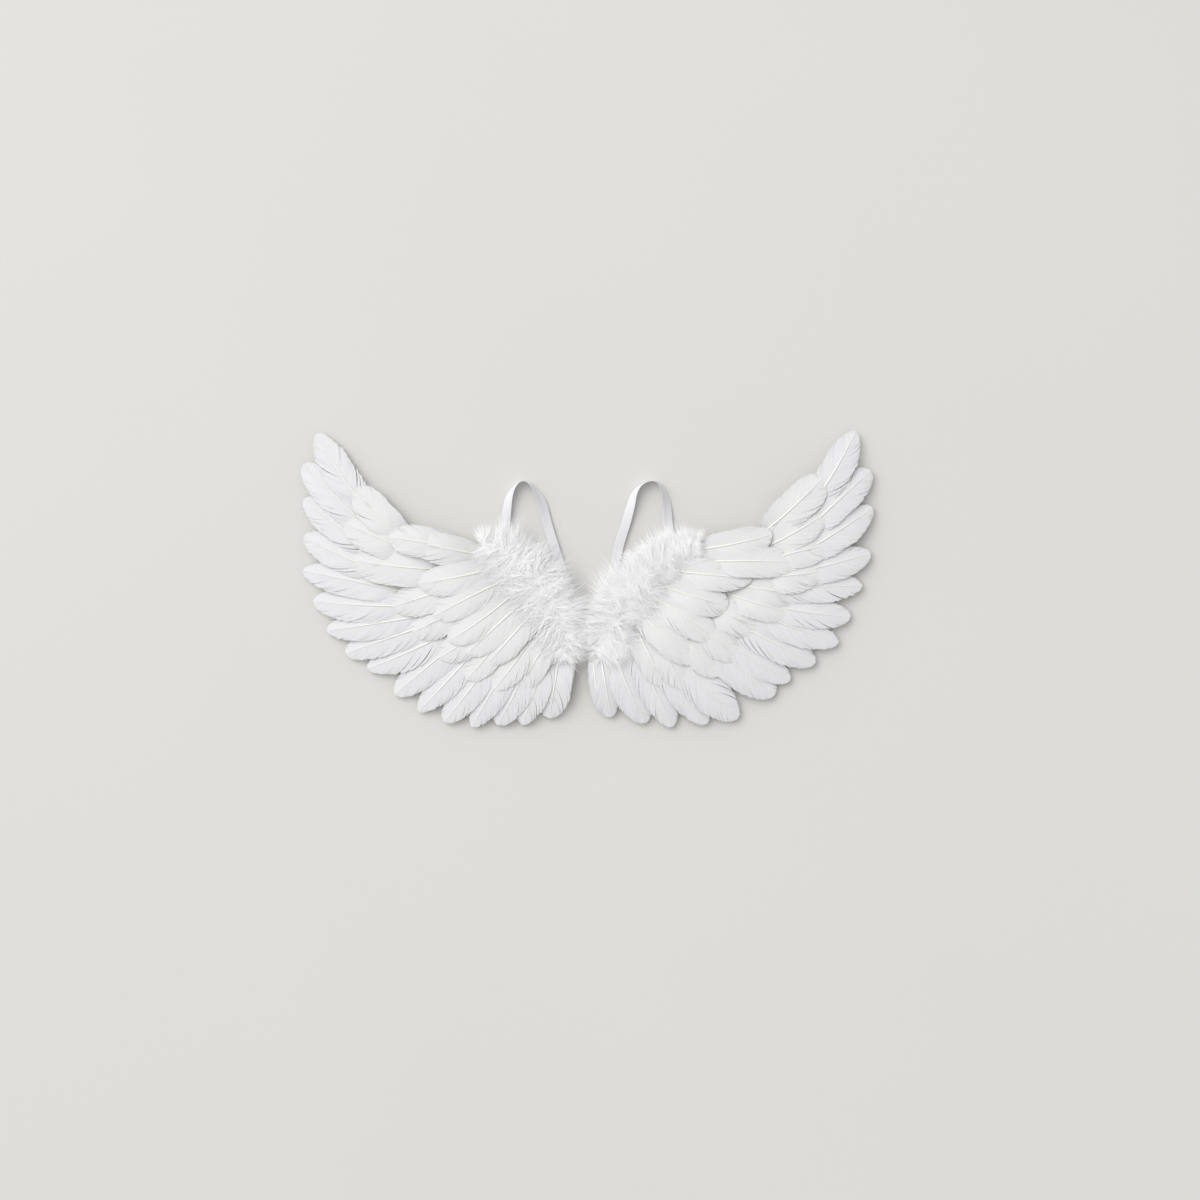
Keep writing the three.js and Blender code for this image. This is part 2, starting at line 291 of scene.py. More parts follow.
def mark_of(tree, name):
    node = lay(tree, "GeometryNodeInputNamedAttribute", {"Name": name}, data_type="FLOAT")
    return Field(tree, node.outputs["Attribute"])


def moved(tree, shape, position):
    node = lay(tree, "GeometryNodeSetPosition", {"Geometry": shape, "Position": position})
    return node.outputs["Geometry"]


def smooth_path(tree, mesh, stations):
    line = lay(tree, "GeometryNodeMeshToCurve", {"Mesh": mesh})
    smooth = lay(tree, "GeometryNodeCurveSplineType", {"Curve": line.outputs["Curve"]},
                 spline_type="CATMULL_ROM")
    even = lay(tree, "GeometryNodeResampleCurve",
               {"Curve": smooth.outputs["Curve"], "Count": stations})
    return even.outputs["Curve"]


def finished(tree, shape, finish):
    real = lay(tree, "GeometryNodeRealizeInstances", {"Geometry": shape})
    painted = lay(tree, "GeometryNodeSetMaterial",
                  {"Geometry": real.outputs["Geometry"], "Material": finish})
    return painted.outputs["Geometry"]


def together(tree, parts):
    whole = lay(tree, "GeometryNodeJoinGeometry")
    for part in parts:
        tree.links.new(part, whole.inputs["Geometry"])
    return whole.outputs["Geometry"]


print("shared steps ready")

# %% [markdown]
# ## Finishes
# Everything here is white, so the finishes differ in how they break the light up. Two
# effects are shared. One mottles a white softly towards a pale grey, as barbs, down and
# felt do. The other is the relief of a narrow woven band, with ribs along it and fine
# threads across, which the elastic and the sewing tape both have. It also paints shade
# into the band's furrows, darkening the colour where the weave is low.

# %% Shared effect: soft white
PATCH_SCALE = 22.0
GRAIN_DETAIL, PATCH_DETAIL = 3.0, 2.0
GRAIN_SHARE, PATCH_SHARE, TONE_SHARE = 0.5, 0.5, 0.6
SMOOTHEST, ROUGHER_WITH_GRAIN = 0.62, 0.2


def soft_white_group():
    inputs = {"Pale": "colour", "Shade": "colour", "Grain": "float", "Amount": "float", "Tone": "float"}
    outputs = {"Color": "colour", "Roughness": "float", "Height": "float"}
    tree, given, exit_node = start_tree("soft_white", "ShaderNodeTree", inputs, outputs)
    place = lay(tree, "ShaderNodeTexCoord").outputs["Object"]
    fine = lay(tree, "ShaderNodeTexNoise",
               {"Vector": place, "Scale": given["Grain"], "Detail": GRAIN_DETAIL})
    broad = lay(tree, "ShaderNodeTexNoise",
                {"Vector": place, "Scale": PATCH_SCALE, "Detail": PATCH_DETAIL})
    grain = Field(tree, fine.outputs["Fac"])
    patch = Field(tree, broad.outputs["Fac"])
    mottle = grain * GRAIN_SHARE + patch * PATCH_SHARE + given["Tone"] * TONE_SHARE
    tint = lay(tree, "ShaderNodeMix", data_type="RGBA")
    connect(tree, mottle * given["Amount"], tint.inputs["Factor"])
    connect(tree, given["Pale"], tint.inputs[MIX_FIRST])
    connect(tree, given["Shade"], tint.inputs[MIX_SECOND])
    connect(tree, tint.outputs[MIX_RESULT], exit_node.inputs["Color"])
    connect(tree, grain * ROUGHER_WITH_GRAIN + SMOOTHEST, exit_node.inputs["Roughness"])
    connect(tree, grain, exit_node.inputs["Height"])
    return tree


SOFT_WHITE = soft_white_group()
print("effect:", SOFT_WHITE.name)

# %% Shared effect: woven band, with painted shade in its furrows
THREAD_HEIGHT, RIB_HEIGHT, CROSSING_HEIGHT, MIDDLE_HEIGHT = 0.25, 0.25, 0.2, 0.5


def woven_band_group():
    inputs = {"Run": "float", "Cross": "float", "Threads": "float", "Ribs": "float"}
    outputs = {"Height": "float", "Furrow shade": "float"}
    tree, given, exit_node = start_tree("woven_band", "ShaderNodeTree", inputs, outputs)
    thread = (given["Run"] * given["Threads"] * math.tau).math("SINE")
    rib = (given["Cross"] * given["Ribs"] * math.tau).math("COSINE")
    relief = thread * THREAD_HEIGHT + rib * RIB_HEIGHT + thread * rib * CROSSING_HEIGHT
    height = relief + MIDDLE_HEIGHT
    connect(tree, height, exit_node.inputs["Height"])
    # The furrow output is painted shade: it darkens the colour where the weave is low.
    connect(tree, 1 - height, exit_node.inputs["Furrow shade"])
    return tree


WOVEN_BAND = woven_band_group()
print("effect:", WOVEN_BAND.name)

# %% Soft finishes
SOFT_RELIEF_DEPTH = 0.0004
SHEEN_ROUGHNESS = 0.4
SOFT_SHINE = 0.25


def start_material(name):
    material = bpy.data.materials.new(name)
    material.use_nodes = True
    return material, material.node_tree, material.node_tree.nodes["Principled BSDF"]


def attribute_of(tree, name):
    return Field(tree, lay(tree, "ShaderNodeAttribute", attribute_name=name).outputs["Fac"])


def soft_material(name, pale, shade, grain, amount, sheen, relief, tone=None):
    material, tree, shader = start_material(name)
    white = lay(tree, "ShaderNodeGroup", node_tree=SOFT_WHITE)
    white.inputs["Pale"].default_value = (*pale, 1)
    white.inputs["Shade"].default_value = (*shade, 1)
    white.inputs["Grain"].default_value = grain
    white.inputs["Amount"].default_value = amount
    if tone:
        connect(tree, attribute_of(tree, tone), white.inputs["Tone"])
    tree.links.new(white.outputs["Color"], shader.inputs["Base Color"])
    tree.links.new(white.outputs["Roughness"], shader.inputs["Roughness"])
    bump = lay(tree, "ShaderNodeBump", {"Strength": relief, "Distance": SOFT_RELIEF_DEPTH})
    tree.links.new(white.outputs["Height"], bump.inputs["Height"])
    tree.links.new(bump.outputs["Normal"], shader.inputs["Normal"])
    shader.inputs["Sheen Weight"].default_value = sheen
    shader.inputs["Sheen Roughness"].default_value = SHEEN_ROUGHNESS
    shader.inputs["Specular IOR Level"].default_value = SOFT_SHINE
    return material


FLIGHT_VANE = soft_material(
    "flight_vane", pale=(0.83, 0.83, 0.845), shade=(0.71, 0.71, 0.732),
    grain=900, amount=0.55, sheen=0.1, relief=0.2, tone="tone")
COVERT_VANE = soft_material(
    "covert_vane", pale=(0.835, 0.833, 0.837), shade=(0.74, 0.737, 0.739),
    grain=900, amount=0.55, sheen=0.1, relief=0.2, tone="tone")
DOWN = soft_material(
    "marabou_down", pale=(0.99, 0.99, 0.995), shade=(0.965, 0.965, 0.975),
    grain=700, amount=0.5, sheen=0.2, relief=0.1, tone="tone")
FELT = soft_material(
    "wool_felt", pale=(0.90, 0.895, 0.88), shade=(0.78, 0.77, 0.75),
    grain=1400, amount=0.9, sheen=0.2, relief=0.7)
print("soft finishes:", [m.name for m in (FLIGHT_VANE, COVERT_VANE, DOWN, FELT)])

# %% Shaft and woven finishes
QUILL_TINT = (0.88, 0.86, 0.785, 1)
SHAFT_TIP_TINT = (0.89, 0.885, 0.86, 1)
SHAFT_GRAIN = 500.0
SHAFT_SMOOTHEST, SHAFT_ROUGHER = 0.3, 0.2
WEAVE_DEPTH = 0.0003
WOVEN_ROUGHNESS = 0.6
WOVEN_SHEEN = 0.2


def shaft_material():
    material, tree, shader = start_material("feather_shaft")
    tint = lay(tree, "ShaderNodeMix", data_type="RGBA")
    tint.inputs[MIX_FIRST].default_value = QUILL_TINT
    tint.inputs[MIX_SECOND].default_value = SHAFT_TIP_TINT
    connect(tree, attribute_of(tree, "spot"), tint.inputs["Factor"])
    tree.links.new(tint.outputs[MIX_RESULT], shader.inputs["Base Color"])
    place = lay(tree, "ShaderNodeTexCoord").outputs["Object"]
    noise = lay(tree, "ShaderNodeTexNoise", {"Vector": place, "Scale": SHAFT_GRAIN})
    grain = Field(tree, noise.outputs["Fac"])
    connect(tree, grain * SHAFT_ROUGHER + SHAFT_SMOOTHEST, shader.inputs["Roughness"])
    return material


def woven_material(name, pale, shade, threads, ribs, relief):
    material, tree, shader = start_material(name)
    weave = lay(tree, "ShaderNodeGroup", node_tree=WOVEN_BAND)
    connect(tree, attribute_of(tree, "run"), weave.inputs["Run"])
    connect(tree, attribute_of(tree, "cross"), weave.inputs["Cross"])
    weave.inputs["Threads"].default_value = threads
    weave.inputs["Ribs"].default_value = ribs
    # The second colour is painted shade, laid into the weave's furrows.
    tint = lay(tree, "ShaderNodeMix", data_type="RGBA")
    tint.inputs[MIX_FIRST].default_value = (*pale, 1)
    tint.inputs[MIX_SECOND].default_value = (*shade, 1)
    tree.links.new(weave.outputs["Furrow shade"], tint.inputs["Factor"])
    tree.links.new(tint.outputs[MIX_RESULT], shader.inputs["Base Color"])
    bump = lay(tree, "ShaderNodeBump", {"Strength": relief, "Distance": WEAVE_DEPTH})
    tree.links.new(weave.outputs["Height"], bump.inputs["Height"])
    tree.links.new(bump.outputs["Normal"], shader.inputs["Normal"])
    shader.inputs["Roughness"].default_value = WOVEN_ROUGHNESS
    shader.inputs["Sheen Weight"].default_value = WOVEN_SHEEN
    return material


SHAFT = shaft_material()
# Each woven finish's second colour is painted shade for the furrows of the weave.
ELASTIC = woven_material(
    "woven_elastic", pale=(0.81, 0.81, 0.835), shade=(0.70, 0.70, 0.73),
    threads=900, ribs=7, relief=0.5)
TAPE = woven_material(
    "cotton_tape", pale=(0.90, 0.89, 0.87), shade=(0.76, 0.75, 0.73),
    threads=1100, ribs=5, relief=0.5)
print("other finishes:", [m.name for m in (SHAFT, ELASTIC, TAPE)])

# %% [markdown]
# ## Felt back panel
# Everything is sewn to one piece of stiff felt, cut like a wide moustache. A flat face with
# a Solidify modifier would do, but the cut edge of felt is soft. So the outline, a smooth
# line through a few cutting points and their mirror images, is filled and extruded, and its
# two rims get a small bevel. The points are in millimetres, for one half.

# %% Cut the panel
PANEL_THICKNESS = 2.0 * MM
PANEL_HALF = [
    (0, -26), (23, -10), (54, 17), (88, 33), (128, 36), (170, 39), (200, 58), (222, 78),
    (235, 64), (228, 26), (206, -10), (175, -36), (133, -57), (86, -70), (44, -77), (0, -76),
]
STEPS_PER_CUT = 6
RIM_SOFTNESS = 0.5 * MM
RIM_SEGMENTS = 2
WALL_CORNERS = 4


def smooth_ring(points, steps):
    ring = []
    count = len(points)
    for i in range(count):
        before, start, end, after = (Vector(points[(i + k) % count]) for k in (-1, 0, 1, 2))
        for step in range(steps):
            t = step / steps
            ring.append(
                0.5 * (2 * start + (end - before) * t
                       + (2 * before - 5 * start + 4 * end - after) * t ** 2
                       + (3 * start - before - 3 * end + after) * t ** 3)
            )
    return ring


def felt_panel():
    mirrored = [(-x, y) for x, y in reversed(PANEL_HALF[1:-1])]
    ring = smooth_ring(PANEL_HALF + mirrored, STEPS_PER_CUT)
    shape = bmesh.new()
    rim = [shape.verts.new((p.x * MM, p.y * MM, 0)) for p in ring]
    face = shape.faces.new(rim)
    raised = bmesh.ops.extrude_face_region(shape, geom=[face])
    lifted = [v for v in raised["geom"] if isinstance(v, bmesh.types.BMVert)]
    bmesh.ops.translate(shape, verts=lifted, vec=(0, 0, PANEL_THICKNESS))
    bmesh.ops.recalc_face_normals(shape, faces=shape.faces)
    rims = [e for e in shape.edges if any(len(f.verts) > WALL_CORNERS for f in e.link_faces)]
    bmesh.ops.bevel(shape, geom=rims, offset=RIM_SOFTNESS, segments=RIM_SEGMENTS, affect="EDGES")
    bmesh.ops.triangulate(shape, faces=[f for f in shape.faces if len(f.verts) > WALL_CORNERS])
    mesh = bpy.data.meshes.new("felt_panel")
    shape.to_mesh(mesh)
    shape.free()
    mesh.materials.append(FELT)
    piece = bpy.data.objects.new("felt_panel", mesh)
    scene.collection.objects.link(piece)
    return piece


panel = felt_panel()
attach(panel, "root")
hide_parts("back_panel")
print("panel faces:", len(panel.data.polygons))

# %% [markdown]
# ## Woven bands
# The arm loops are 10 mm elastic. Each lies flat where it is sewn down, and turns onto its
# edge over the top of the loop. A band is a path with a flat ribbed section carried along
# it, so one tree does for the loops and for the narrow tape that holds the quills. The
# section is a circle pressed into a rounded oblong with ribs, and the path's own lean turns
# it. Distances along and across the band are stored for the weave.

# %% Band tree
SECTION_POINTS = 44
EDGE_SQUARENESS = 0.5
FACE_SQUARENESS = 0.35
RIB_DEPTH = 0.12


def band_section(tree, given):
    circle = lay(tree, "GeometryNodeCurvePrimitiveCircle", {"Resolution": SECTION_POINTS, "Radius": 1.0})
    x, y, _ = vector_parts(tree, lay(tree, "GeometryNodeInputPosition").outputs["Position"])
    across = x.math("SIGN") * x.math("ABSOLUTE") ** EDGE_SQUARENESS
    through = y.math("SIGN") * y.math("ABSOLUTE") ** FACE_SQUARENESS
    rib = (across * given["Ribs"] * math.pi).math("COSINE") * RIB_DEPTH + (1 - RIB_DEPTH)
    place = lay(tree, "ShaderNodeCombineXYZ", {
        "X": across * given["Width"] / 2,
        "Y": through * rib * given["Thickness"] / 2,
    })
    outline = moved(tree, circle.outputs["Curve"], place.outputs["Vector"])
    x, _, _ = vector_parts(tree, lay(tree, "GeometryNodeInputPosition").outputs["Position"])
    return marked(tree, outline, "cross", x / given["Width"])


def band_tree():
    inputs = {"Path": "shape", "Width": "float", "Thickness": "float", "Ribs": "float",
              "Stations": "int", "Finish": "material"}
    outputs = {"Band": "shape"}
    tree, given, exit_node = start_tree("woven_band_shape", "GeometryNodeTree", inputs, outputs)
    path = smooth_path(tree, given["Path"], given["Stations"])
    upright = lay(tree, "GeometryNodeSetCurveNormal", {"Curve": path}, mode="Z_UP")
    turned = lay(tree, "GeometryNodeSetCurveTilt",
                 {"Curve": upright.outputs["Curve"], "Tilt": mark_of(tree, "lean")})
    travelled = lay(tree, "GeometryNodeSplineParameter").outputs["Length"]
    body = lay(tree, "GeometryNodeCurveToMesh", {
        "Curve": marked(tree, turned.outputs["Curve"], "run", travelled),
        "Profile Curve": band_section(tree, given),
        "Fill Caps": True,
    })
    tree.links.new(finished(tree, body.outputs["Mesh"], given["Finish"]), exit_node.inputs["Band"])
    return tree


BAND = band_tree()
print("band tree:", len(BAND.nodes), "nodes")

# %% Arm loops
STRAP = {"Width": 10 * MM, "Thickness": 1.0 * MM, "Ribs": 7.0, "Stations": 90, "Finish": ELASTIC}
ON_PANEL = 2.8
# Each point has its place and height in millimetres, and the band's lean in degrees.
LEFT_LOOP = [
    (-88, 25, ON_PANEL, 0), (-88, 36, ON_PANEL, 0), (-87, 48, ON_PANEL, 0), (-86, 67, 3.2, 10),
    (-83, 86, 4.2, 40), (-77, 98, 5.2, 75), (-69, 104, 5.4, 90), (-61, 101, 5.3, 80),
    (-54, 92, 4.7, 55), (-48, 81, 3.9, 28), (-43, 60, 3.1, 8), (-36, 37, ON_PANEL, 0),
    (-27, 9, ON_PANEL, 0), (-19, -12, ON_PANEL, 0), (-14, -28, ON_PANEL, 0),
]
RIGHT_LOOP = [
    (14, -28, ON_PANEL, 0), (19, -12, ON_PANEL, 0), (26, 7, ON_PANEL, 0), (33, 37, ON_PANEL, 0),
    (40, 60, 3.1, 8), (45, 78, 3.9, 28), (49, 91, 4.7, 55), (56, 100, 5.3, 80),
    (66, 104, 5.4, 90), (74, 102, 5.2, 80), (80, 92, 4.6, 52), (83, 77, 3.7, 25),
    (84, 62, 3.1, 6), (86, 46, ON_PANEL, 0), (88, 36, ON_PANEL, 0), (88, 25, ON_PANEL, 0),
]


def arm_loop(side, table):
    rows = [(x * MM, y * MM, z * MM, math.radians(-lean)) for x, y, z, lean in table]
    loop = grow(side + "_elastic", BAND, STRAP, path_mesh(side + "_loop_path", rows, ["lean"]))
    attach(loop, "root")
    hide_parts(side + "_arm_loop")
    return loop


for side, table in (("left", LEFT_LOOP), ("right", RIGHT_LOOP)):
    loop = arm_loop(side, table)
    print(loop.name, len(loop.data.polygons), "faces", [round(v, 4) for v in loop.dimensions])

# %% [markdown]
# ## One feather
# A feather is a shaft with barbs: fine flat fibres that leave the shaft at a slant, lie
# side by side and hook together into a vane. Here and there the hooks let go, and the vane
# splits. A painted leaf shape would look right from far off only, so every barb is made.
# Each one is placed by where it ends on the feather's outline, and its other end is found by
# going back to the shaft at the barb's slant. Bunches of barbs pull together, which opens
# the splits, and towards the tip the barbs stand closer, so that it stays whole. The whole
# vane leans so that it lies over the next feather.

# %% Outline and place of a feather
# Each point has its share of the length, and the vane's share of the half width there.
OUTLINE = [(0.0, 0.12), (0.06, 0.34), (0.2, 0.76), (0.36, 0.96), (0.55, 1.04),
           (0.75, 1.0), (0.88, 0.84), (0.96, 0.55), (0.985, 0.36), (1.0, 0.06)]
FEATHER_INPUTS = {
    "Quill": "vector", "Tip": "vector", "Width": "float", "Next side": "float", "Climb": "float",
    "Within": "float", "Curl": "float", "Lean": "float", "Barbs": "int", "Bunches": "float",
    "Splits": "float", "Bow": "float", "Uneven": "float", "Point": "float", "Seed": "int",
    "Vane": "material", "Shaft": "material",
}


def outline_reach(tree, spot):
    node = lay(tree, "ShaderNodeFloatCurve", {"Value": spot})
    curve = node.mapping.curves[0]
    curve.points[0].location = OUTLINE[0]
    curve.points[1].location = OUTLINE[-1]
    for along, reach in OUTLINE[1:-1]:
        curve.points.new(along, reach)
    for point in curve.points:
        point.handle_type = "AUTO_CLAMPED"
    node.mapping.update()
    return Field(tree, node.outputs["Value"])


def feather_place(tree, given, along, across, lift):
    qx, qy, qz = vector_parts(tree, given["Quill"])
    tx, ty, _ = vector_parts(tree, given["Tip"])
    dx, dy = tx - qx, ty - qy
    length = (dx * dx + dy * dy) ** 0.5
    ax, ay = dx / length, dy / length
    u = along / length
    # The bow is nothing at both ends and full half way along.
    bowed = across + given["Bow"] * (u * (1 - u) * 4)
    near = (along / given["Within"]).math("MINIMUM", 1.0)
    climb = given["Climb"] * (1 - (1 - near) ** 2) - given["Curl"] * u ** 3
    place = lay(tree, "ShaderNodeCombineXYZ", {
        "X": qx + ax * along + ay * given["Next side"] * bowed,
        "Y": qy + ay * along - ax * given["Next side"] * bowed,
        "Z": qz + climb + given["Lean"] * across + lift,
    })
    return place.outputs["Vector"]


def feather_length(tree, given):
    span = lay(tree, "ShaderNodeVectorMath", operation="SUBTRACT")
    connect(tree, given["Tip"], span.inputs[0])
    connect(tree, given["Quill"], span.inputs[1])
    size = lay(tree, "ShaderNodeVectorMath", operation="LENGTH")
    tree.links.new(span.outputs[0], size.inputs[0])
    return Field(tree, size.outputs["Value"])


print("feather inputs:", len(FEATHER_INPUTS))

# %% Lines, and sections carried along them
def many_lines(tree, count, points):
    line = lay(tree, "GeometryNodeCurvePrimitiveLine")
    stretch = lay(tree, "GeometryNodeResampleCurve",
                  {"Curve": line.outputs["Curve"], "Count": points})
    copies = lay(tree, "GeometryNodeDuplicateElements",
                 {"Geometry": stretch.outputs["Curve"], "Amount": count}, domain="SPLINE")
    which = lay(tree, "GeometryNodeCurveOfPoint").outputs["Curve Index"]
    part = lay(tree, "GeometryNodeSplineParameter").outputs["Factor"]
    return copies.outputs["Geometry"], Field(tree, which), Field(tree, part)


def swept(tree, shape, radius, sides, flatness, finish, capped=False, rounded=True):
    upright = lay(tree, "GeometryNodeSetCurveNormal", {"Curve": shape}, mode="Z_UP")
    section = lay(tree, "GeometryNodeCurvePrimitiveCircle", {"Resolution": sides, "Radius": 1.0})
    flat = lay(tree, "GeometryNodeTransform",
               {"Geometry": section.outputs["Curve"], "Scale": (flatness, 1.0, 1.0),
                "Rotation": (0.0, 0.0, math.pi / 2)})
    body = lay(tree, "GeometryNodeCurveToMesh",
               {"Curve": upright.outputs["Curve"], "Profile Curve": flat.outputs["Geometry"],
                "Scale": radius, "Fill Caps": capped})
    shaded = lay(tree, "GeometryNodeSetShadeSmooth",
                 {"Geometry": body.outputs["Mesh"], "Shade Smooth": rounded})
    return finished(tree, shaded.outputs["Geometry"], finish)


print("lines and sections ready")

# %% Bunches of barbs
FIRST_BARB = 0.07
TIP_CROWDING = 1.75
SIDE_SHIFT, BUNCH_SHIFT = 0.23, 0.3
BUNCH_LIFT = 0.35 * MM
# Splits and lifted bunches fade out towards the tip, as these powers of the place.
SPLIT_FADE, LIFT_FADE = 4, 6
# Where in the row of random numbers each kind of chance starts
SIDE_DRAW, BUNCH_DRAW, BUNCH_LIFT_DRAW = 37, 200, 1000


def barb_spot(given, number):
    side = number.math("MODULO", 2.0) * 2 - 1
    part = (number / 2).math("FLOOR") / (given["Barbs"] - 1)
    spot = (1 - (1 - part) ** TIP_CROWDING) * (1 - FIRST_BARB) + FIRST_BARB
    return side, spot


def bunched(tree, given, side, spot):
    shift = side * SIDE_SHIFT + BUNCH_SHIFT
    bunch = (spot * given["Bunches"] + shift).math("FLOOR")
    middle = (bunch + 0.5 - shift) / given["Bunches"]
    draw = bunch * 2 + side * SIDE_DRAW + BUNCH_DRAW
    pull = chance(tree, draw, given["Seed"]) ** 2 * given["Splits"] * (1 - spot ** SPLIT_FADE)
    lift = chance(tree, draw + BUNCH_LIFT_DRAW, given["Seed"], -BUNCH_LIFT, BUNCH_LIFT)
    return spot + (middle - spot) * pull, lift * (1 - spot ** LIFT_FADE)


print("barbs start at", FIRST_BARB, "of the length")

# %% Barbs of the vane
BARB_POINTS = 6
BARB_SIDES = 3
BARB_HALF_WIDTH = 0.80 * MM
BARB_FLATNESS = 0.12
BARB_TAPER = 0.5
POINT_FROM = 0.7
SLANT_AT_QUILL, MORE_SLANT, SLANT_LOST_AT_TIP, SLANT_FADE = 0.9, 1.2, 0.6, 12
NEAREST_TO_QUILL = 0.02
BARB_SWEEP, BARB_BEND = 1.2, 1.35
RAGGED_EDGE = 0.6 * MM
BARB_LIFT = 0.15 * MM
CAMBER = 1.0 * MM
VANE_LIFT = 0.6 * MM
BARB_LIFT_DRAW, BARB_TONE_DRAW = 5000, 9000


def vane(tree, given, length):
    lines, number, t = many_lines(tree, given["Barbs"] * 2, BARB_POINTS)
    seed = given["Seed"]
    side, spot = barb_spot(given, number)
    end, bunch_lift = bunched(tree, given, side, spot)
    pointed = 1 - (spot - POINT_FROM).math("MAXIMUM", 0.0) * given["Point"]
    half = outline_reach(tree, spot) * given["Width"] / 2 * (given["Uneven"] * side + 1) * pointed
    slant = (spot * MORE_SLANT + SLANT_AT_QUILL) * (1 - spot ** SLANT_FADE * SLANT_LOST_AT_TIP)
    start = (spot - half * slant / length).math("MAXIMUM", NEAREST_TO_QUILL)
    along = (start + (end - start) * t ** BARB_SWEEP) * length
    ragged = chance(tree, number, seed, -RAGGED_EDGE, RAGGED_EDGE)
    across = (half + ragged) * (1 - (1 - t) ** BARB_BEND) * side
    barb_lift = chance(tree, number + BARB_LIFT_DRAW, seed, -BARB_LIFT, BARB_LIFT)
    droop = across / (given["Width"] / 2)
    lift = (bunch_lift + barb_lift) * t - droop * droop * CAMBER + VANE_LIFT
    placed = moved(tree, lines, feather_place(tree, given, along, across, lift))
    toned = marked(tree, placed, "tone", chance(tree, number + BARB_TONE_DRAW, seed))
    radius = (1 - t ** 3 * BARB_TAPER) * BARB_HALF_WIDTH
    return swept(tree, toned, radius, BARB_SIDES, BARB_FLATNESS, given["Vane"], rounded=False)


print("barb width:", 2 * BARB_HALF_WIDTH / MM, "mm")

# %% Shaft, and the whole feather
SHAFT_POINTS = 14
SHAFT_SIDES = 6
SHAFT_FLATNESS = 0.8
SHAFT_REACH = 0.985
SHAFT_LIFT = 0.75 * MM
SHAFT_TIP_RADIUS, MORE_AT_QUILL = 0.26 * MM, 1.05 * MM


def shaft(tree, given, length):
    lines, _, t = many_lines(tree, 1, SHAFT_POINTS)
    place = feather_place(tree, given, t * length * SHAFT_REACH, t * 0, t * 0 + SHAFT_LIFT)
    spotted = marked(tree, moved(tree, lines, place), "spot", t)
    radius = (1 - t) * MORE_AT_QUILL + SHAFT_TIP_RADIUS
    return swept(tree, spotted, radius, SHAFT_SIDES, SHAFT_FLATNESS, given["Shaft"], capped=True)


def feather_tree():
    outputs = {"Feather": "shape"}
    tree, given, exit_node = start_tree("feather", "GeometryNodeTree", FEATHER_INPUTS, outputs)
    length = feather_length(tree, given)
    whole = together(tree, (vane(tree, given, length), shaft(tree, given, length)))
    tree.links.new(whole, exit_node.inputs["Feather"])
    return tree


FEATHER = feather_tree()
print("feather tree:", len(FEATHER.nodes), "nodes")

# %% [markdown]
# ## Flight feathers
# The long feathers round the edge of each wing are the flights. The tables say where each
# tip and quill lies, from the wing's tip round to the middle, as in the solids, and give a
# width where a feather has its own. Each feather climbs off its quill and curls down again
# to its tip. Away from the left wing's tip they arch a little higher, as their wider shadows
# tell. No two are quite alike: how much one bows, splits and narrows goes by its seed.

# %% Where the flights lie
QUILL_HEIGHT = 2.6
SHINGLE_LEAN = 0.05
RIGHT_RISE = 2.5
RISE_FROM, RISE_OVER = -290, 150
FEWEST_BUNCHES, BUNCH_STEPS = 10.0, 6
LEAST_SPLIT, SPLIT_GAIN, SPLIT_STEPS = 0.70, 0.15, 3
FLIGHT_ROW = {"width": 33, "climb": 6.8, "within": 44, "curl": 7.4, "barb_pitch": 1.3, "point": 0.95}
# Each feather has its tip and its quill, and some a width, in millimetres.
LEFT_FLIGHT = [
    ((-285, 154), (-223, 63)), ((-299, 122), (-222, 46)), ((-299, 85), (-214, 24)),
    ((-299, 46), (-201, 3)), ((-300, 10), (-184, -15)), ((-289, -22), (-168, -27)),
    ((-275, -53), (-156, -34)), ((-255, -77), (-143, -39)), ((-232, -93), (-127, -44)),
    ((-203, -120), (-106, -40)), ((-178, -138), (-92, -43)), ((-151, -149), (-77, -48)),
    ((-122, -154), (-63, -54)), ((-95, -152), (-51, -58)), ((-69, -152), (-38, -63)),
    ((-41, -145), (-28, -67)), ((-30, -128), (-19, -70), 13),
]
RIGHT_FLIGHT = [
    ((281, 156), (229, 71)), ((297, 115), (219, 42), 36), ((299, 76), (207, 19), 36),
    ((297, 28), (186, 2)), ((288, -6), (170, -10)), ((276, -39), (159, -19)),
    ((263, -66), (147, -26)), ((239, -87), (133, -34)), ((212, -106), (117, -42)),
    ((196, -121), (102, -47), 43), ((157, -146), (78, -55), 42), ((125, -151), (60, -58)),
    ((89, -154), (41, -56)), ((61, -150), (25, -66)), ((24, -144), (11, -68), 28),
    ((13, -138), (5, -71), 13),
]


def sway(seed, pace, middle, span):
    return middle + span * math.sin(pace * seed)


def make_feather(name, row, tip, quill, width, next_side, seed, vane_finish):
    reach = math.dist(tip, quill)
    rise = RIGHT_RISE * min(1.0, max(0.0, (tip[0] - RISE_FROM) / RISE_OVER))
    return grow(name, FEATHER, {
        "Quill": (quill[0] * MM, quill[1] * MM, QUILL_HEIGHT * MM),
        "Tip": (tip[0] * MM, tip[1] * MM, QUILL_HEIGHT * MM),
        "Width": width * MM,
        "Next side": float(next_side),
        "Climb": (row["climb"] + rise) * MM,
        "Within": row["within"] * MM,
        "Curl": row["curl"] * MM,
        "Lean": SHINGLE_LEAN,
        "Barbs": round(reach / row["barb_pitch"]),
        "Bunches": FEWEST_BUNCHES + seed % BUNCH_STEPS,
        "Splits": LEAST_SPLIT + SPLIT_GAIN * (seed % SPLIT_STEPS),
        "Bow": sway(seed, pace=2.4, middle=1.0, span=1.8) * MM,
        "Uneven": sway(seed, pace=1.7, middle=0.05, span=0.06),
        "Point": sway(seed, pace=3.1, middle=row["point"], span=0.4),
        "Seed": seed,
        "Vane": vane_finish,
        "Shaft": SHAFT,
    })


print("flights:", len(LEFT_FLIGHT), "left,", len(RIGHT_FLIGHT), "right")

